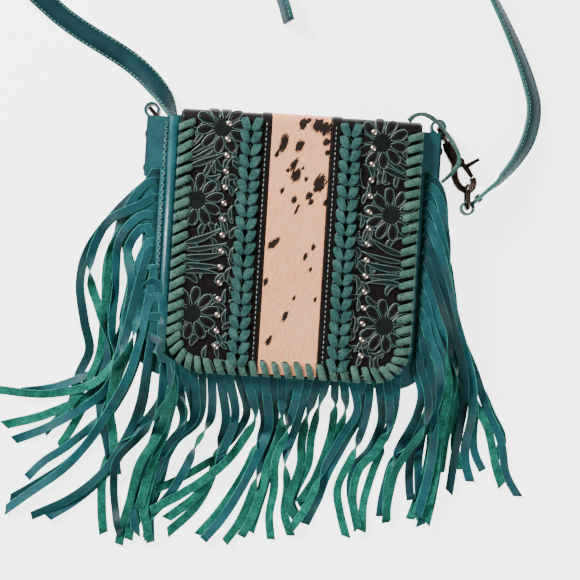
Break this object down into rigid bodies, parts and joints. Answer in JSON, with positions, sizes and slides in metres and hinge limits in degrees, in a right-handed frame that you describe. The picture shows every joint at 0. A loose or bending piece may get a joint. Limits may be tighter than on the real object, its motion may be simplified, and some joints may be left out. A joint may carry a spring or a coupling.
{
  "type": "fringed leather shoulder bag",
  "caption": "Flat shoulder bag with a tooled and hair-on flap, chevron lacing, whipstitched edge, long strand fringe on three sides and a buckled strap on trigger snaps.",
  "frame": {"origin": "centre of the back panel's underside, which lies on the table", "axes": "+X to the bag's right seen from the front, +Y to its top edge, +Z out of the flap"},
  "size_m": [0.4834, 0.5953, 0.0527],
  "materials": {
    "body": "smooth teal grain leather",
    "flap": "black-brown leather",
    "tooling": "tooled, teal rubbed",
    "hair": "short cream hair, spotted",
    "lacing": "grey-green suede lace",
    "fringe": "suede side and grain side, teal",
    "strap": "smooth teal grain leather",
    "hardware": "dark bronze, satin",
    "rivets": "dark bronze, satin",
    "magnet": "dark bronze, satin"
  },
  "bodies": {
    "bag": {"back_panel": "body", "gusset": "body", "front_panel": "body", "magnet_front": "magnet", "fringe_left": "fringe", "fringe_right": "fringe", "fringe_bottom": "fringe", "tab_left": "body", "tab_right": "body", "tab_rivet_left_1": "rivets", "tab_rivet_left_2": "rivets", "tab_rivet_right_1": "rivets", "tab_rivet_right_2": "rivets", "snap_eye_left": "hardware", "snap_eye_right": "hardware", "oval_ring_left": "hardware", "oval_ring_right": "hardware", "strap_left": "strap", "strap_right": "strap", "strap_rivet_left": "rivets", "strap_rivet_right": "rivets", "buckle_frame": "hardware", "buckle_prong": "hardware", "buckle_roller": "hardware", "keeper": "strap"},
    "flap": {"flap": "flap", "tooled_panel_left": "tooling", "tooled_panel_right": "tooling", "hair_strip": "hair", "chevron_lacing_left": "lacing", "chevron_lacing_right": "lacing", "whipstitch": "lacing", "magnet_flap": "magnet"},
    "snap_left": {"snap_body_left": "hardware"},
    "snap_right": {"snap_body_right": "hardware"},
    "gate_left": {"snap_gate_left": "hardware"},
    "gate_right": {"snap_gate_right": "hardware"}
  },
  "joints": [
    {"name": "flap_hinge", "type": "hinge", "parent": "bag", "child": "flap", "pos_m": [0.006, 0.11325, 0.0015], "axis": [-1, 0, 0], "range_deg": [0, 80]},
    {"name": "snap_swivel_left", "type": "hinge", "parent": "bag", "child": "snap_left", "pos_m": [-0.11062, 0.10164, 0.0152], "axis": [0.682, -0.7314, 0], "range_deg": [-30, 30]},
    {"name": "snap_gate_left", "type": "hinge", "parent": "snap_left", "child": "gate_left", "pos_m": [-0.10118, 0.08652, 0.0152], "axis": [0, 0, 1], "range_deg": [0, 25], "stiffness_Nm_per_rad": 0.01},
    {"name": "snap_swivel_right", "type": "hinge", "parent": "bag", "child": "snap_right", "pos_m": [0.13163, 0.09906, 0.0152], "axis": [0.4848, -0.8746, 0], "range_deg": [-30, 30]},
    {"name": "snap_gate_right", "type": "hinge", "parent": "snap_right", "child": "gate_right", "pos_m": [0.14308, 0.0854, 0.0152], "axis": [0, 0, -1], "range_deg": [0, 25], "stiffness_Nm_per_rad": 0.01}
  ]
}
